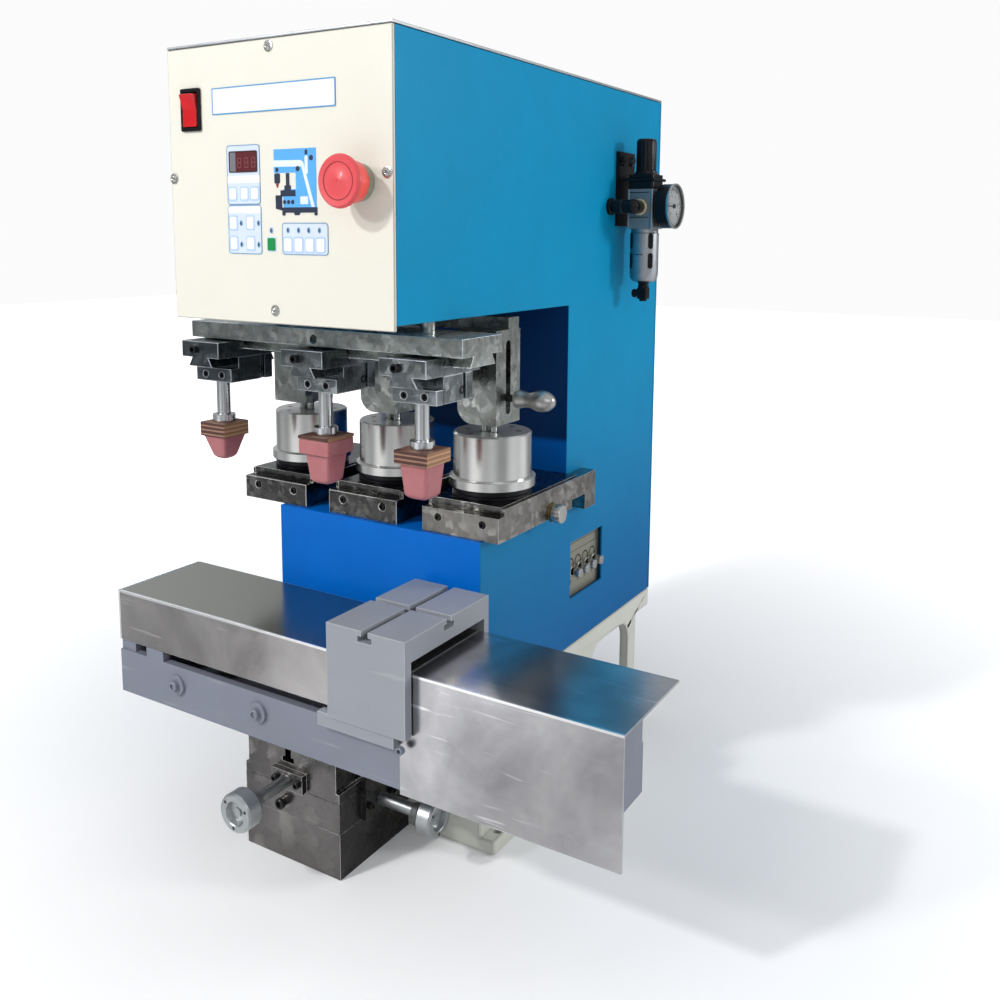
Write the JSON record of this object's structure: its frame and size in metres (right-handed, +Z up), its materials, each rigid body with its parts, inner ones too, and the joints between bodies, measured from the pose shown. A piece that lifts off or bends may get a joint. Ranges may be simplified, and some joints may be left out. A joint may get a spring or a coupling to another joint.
{
  "type": "pad printing machine",
  "caption": "Bench pad printing machine: C-shaped cabinet on a cast base, sealed ink cups over cliche trays, pads on a lifting plate and a shuttle table on a covered rail",
  "frame": {"origin": "centre of the bounding box's footprint, on the floor under the base", "axes": "+X to the machine's right, +Y to its back, +Z up"},
  "size_m": [0.558, 0.5786, 0.751],
  "materials": {
    "cabinet_blue": "smooth satin blue paint",
    "panel_cream": "smooth satin cream paint",
    "casting_white": "off-white paint over a casting",
    "lid_sheet": "plain sheet",
    "black_plastic": "matte black moulding",
    "red_plastic": "glossy red moulding",
    "ground_steel": "ground steel",
    "bright_steel": "turned and polished steel",
    "dark_steel": "dark ground steel",
    "shuttle_grey": "satin blue-grey paint",
    "cover_stainless": "brushed stainless sheet",
    "plywood": "striped plywood",
    "silicone": "satin pink silicone",
    "alloy": "satin die-cast alloy"
  },
  "bodies": {
    "frame": {"base_casting": "casting_white", "cabinet_shell": "cabinet_blue", "front_panel": "panel_cream", "top_cover": "lid_sheet", "rear_cover": "cabinet_blue", "estop_collar": "black_plastic", "rocker_bezel": "black_plastic", "cliche_tray_1": "dark_steel", "cliche_tray_2": "dark_steel", "cliche_tray_3": "dark_steel", "cliche_plate_1": "ground_steel", "cliche_plate_2": "ground_steel", "cliche_plate_3": "ground_steel", "air_bracket": "black_plastic", "air_filter_body": "alloy", "gauge_case": "black_plastic", "valve_panel": "ground_steel", "head_guide_rail": "ground_steel", "pedestal_block": "dark_steel"},
    "emergency_button": {"estop_button": "red_plastic"},
    "power_switch": {"power_rocker": "red_plastic"},
    "regulator_dial": {"regulator_knob": "black_plastic"},
    "pressure_needle": {"gauge_needle": "black_plastic"},
    "tray_knob": {"tray_clamp_knob": "bright_steel"},
    "carriage": {"head_carriage": "shuttle_grey", "cup_bracket_bar": "ground_steel", "ink_cup_1": "bright_steel", "ink_cup_2": "bright_steel", "ink_cup_3": "bright_steel"},
    "pad_lift": {"pad_plate": "ground_steel"},
    "cross_x": {"cross_slide_x": "dark_steel"},
    "wheel_x": {"handwheel_x": "alloy"},
    "cross_y": {"cross_slide_y": "dark_steel", "shuttle_rail": "shuttle_grey", "shuttle_cover_left": "cover_stainless", "shuttle_cover_right": "cover_stainless"},
    "wheel_y": {"handwheel_y": "alloy"},
    "shuttle": {"shuttle_table": "shuttle_grey"},
    "valve_1": {"valve_knob_1": "bright_steel"},
    "valve_2": {"valve_knob_2": "bright_steel"},
    "valve_3": {"valve_knob_3": "bright_steel"},
    "valve_4": {"valve_knob_4": "bright_steel"},
    "cup_lift_1": {"cup_drive_1": "ground_steel"},
    "handle_1": {"clamp_handle_1": "bright_steel"},
    "pad_side_1": {"holder_block_1": "ground_steel"},
    "pad_reach_1": {"holder_slide_1": "ground_steel", "pad_board_1": "plywood", "silicone_pad_1": "silicone"},
    "cup_lift_2": {"cup_drive_2": "ground_steel"},
    "handle_2": {"clamp_handle_2": "bright_steel"},
    "pad_side_2": {"holder_block_2": "ground_steel"},
    "pad_reach_2": {"holder_slide_2": "ground_steel", "pad_board_2": "plywood", "silicone_pad_2": "silicone"},
    "cup_lift_3": {"cup_drive_3": "ground_steel"},
    "handle_3": {"clamp_handle_3": "bright_steel"},
    "pad_side_3": {"holder_block_3": "ground_steel"},
    "pad_reach_3": {"holder_slide_3": "ground_steel", "pad_board_3": "plywood", "silicone_pad_3": "silicone"}
  },
  "joints": [
    {"name": "emergency_push", "type": "slide", "parent": "frame", "child": "emergency_button", "axis": [0, 1, 0], "range_m": [0, 0.005]},
    {"name": "power_rock", "type": "hinge", "parent": "frame", "child": "power_switch", "pos_m": [-0.147, -0.2403, 0.6955], "axis": [1, 0, 0], "range_deg": [-16, 0]},
    {"name": "regulator_turn", "type": "hinge", "parent": "frame", "child": "regulator_dial", "pos_m": [0.101, 0.1837, 0.68], "axis": [0, 0, 1], "range_deg": [-720, 720]},
    {"name": "needle_swing", "type": "hinge", "parent": "frame", "child": "pressure_needle", "pos_m": [0.135, 0.1837, 0.622], "axis": [1, 0, 0], "range_deg": [-225, 45], "stiffness_Nm_per_rad": 0.002},
    {"name": "tray_knob_turn", "type": "hinge", "parent": "frame", "child": "tray_knob", "pos_m": [0.097, -0.0073, 0.313], "axis": [1, 0, 0], "range_deg": [-360, 360]},
    {"name": "carriage_slide", "type": "slide", "parent": "frame", "child": "carriage", "axis": [0, 1, 0], "range_m": [0, 0.06]},
    {"name": "pad_stroke", "type": "slide", "parent": "carriage", "child": "pad_lift", "axis": [0, 0, 1], "range_m": [-0.07, 0]},
    {"name": "cross_x_slide", "type": "slide", "parent": "frame", "child": "cross_x", "axis": [1, 0, 0], "range_m": [-0.015, 0.015]},
    {"name": "wheel_x_turn", "type": "hinge", "parent": "cross_x", "child": "wheel_x", "pos_m": [-0.0105, -0.1663, 0.0575], "axis": [1, 0, 0], "range_deg": [-1350, 1350]},
    {"name": "cross_y_slide", "type": "slide", "parent": "cross_x", "child": "cross_y", "axis": [0, 1, 0], "range_m": [-0.02, 0.007]},
    {"name": "wheel_y_turn", "type": "hinge", "parent": "cross_y", "child": "wheel_y", "pos_m": [-0.069, -0.2183, 0.084], "axis": [0, 1, 0], "range_deg": [-1800, 630]},
    {"name": "shuttle_slide", "type": "slide", "parent": "cross_y", "child": "shuttle", "axis": [1, 0, 0], "range_m": [-0.234, 0]},
    {"name": "valve_1_turn", "type": "hinge", "parent": "frame", "child": "valve_1", "pos_m": [0.071, 0.0807, 0.222], "axis": [1, 0, 0], "range_deg": [-720, 720]},
    {"name": "valve_2_turn", "type": "hinge", "parent": "frame", "child": "valve_2", "pos_m": [0.071, 0.0982, 0.222], "axis": [1, 0, 0], "range_deg": [-720, 720]},
    {"name": "valve_3_turn", "type": "hinge", "parent": "frame", "child": "valve_3", "pos_m": [0.071, 0.1157, 0.222], "axis": [1, 0, 0], "range_deg": [-720, 720]},
    {"name": "valve_4_turn", "type": "hinge", "parent": "frame", "child": "valve_4", "pos_m": [0.071, 0.1332, 0.222], "axis": [1, 0, 0], "range_deg": [-720, 720]},
    {"name": "cup_lift_1_slide", "type": "slide", "parent": "carriage", "child": "cup_lift_1", "axis": [0, 0, 1], "range_m": [0, 0.045]},
    {"name": "handle_1_turn", "type": "hinge", "parent": "cup_lift_1", "child": "handle_1", "pos_m": [-0.146, -0.0718, 0.4375], "axis": [1, 0, 0], "range_deg": [-45, 45]},
    {"name": "pad_side_1_slide", "type": "slide", "parent": "pad_lift", "child": "pad_side_1", "axis": [1, 0, 0], "range_m": [-0.01, 0.01]},
    {"name": "pad_reach_1_slide", "type": "slide", "parent": "pad_side_1", "child": "pad_reach_1", "axis": [0, 1, 0], "range_m": [-0.01, 0.02]},
    {"name": "cup_lift_2_slide", "type": "slide", "parent": "carriage", "child": "cup_lift_2", "axis": [0, 0, 1], "range_m": [0, 0.045]},
    {"name": "handle_2_turn", "type": "hinge", "parent": "cup_lift_2", "child": "handle_2", "pos_m": [-0.029, -0.0718, 0.4375], "axis": [1, 0, 0], "range_deg": [-45, 45]},
    {"name": "pad_side_2_slide", "type": "slide", "parent": "pad_lift", "child": "pad_side_2", "axis": [1, 0, 0], "range_m": [-0.01, 0.01]},
    {"name": "pad_reach_2_slide", "type": "slide", "parent": "pad_side_2", "child": "pad_reach_2", "axis": [0, 1, 0], "range_m": [-0.01, 0.02]},
    {"name": "cup_lift_3_slide", "type": "slide", "parent": "carriage", "child": "cup_lift_3", "axis": [0, 0, 1], "range_m": [0, 0.045]},
    {"name": "handle_3_turn", "type": "hinge", "parent": "cup_lift_3", "child": "handle_3", "pos_m": [0.088, -0.0718, 0.4375], "axis": [1, 0, 0], "range_deg": [-45, 45]},
    {"name": "pad_side_3_slide", "type": "slide", "parent": "pad_lift", "child": "pad_side_3", "axis": [1, 0, 0], "range_m": [-0.01, 0.01]},
    {"name": "pad_reach_3_slide", "type": "slide", "parent": "pad_side_3", "child": "pad_reach_3", "axis": [0, 1, 0], "range_m": [-0.01, 0.02]}
  ],
  "couplings": [
    {"joint": "wheel_x_turn", "follows": "cross_x_slide", "rad_per_m": 1570.8},
    {"joint": "wheel_y_turn", "follows": "cross_y_slide", "rad_per_m": 1570.8}
  ]
}
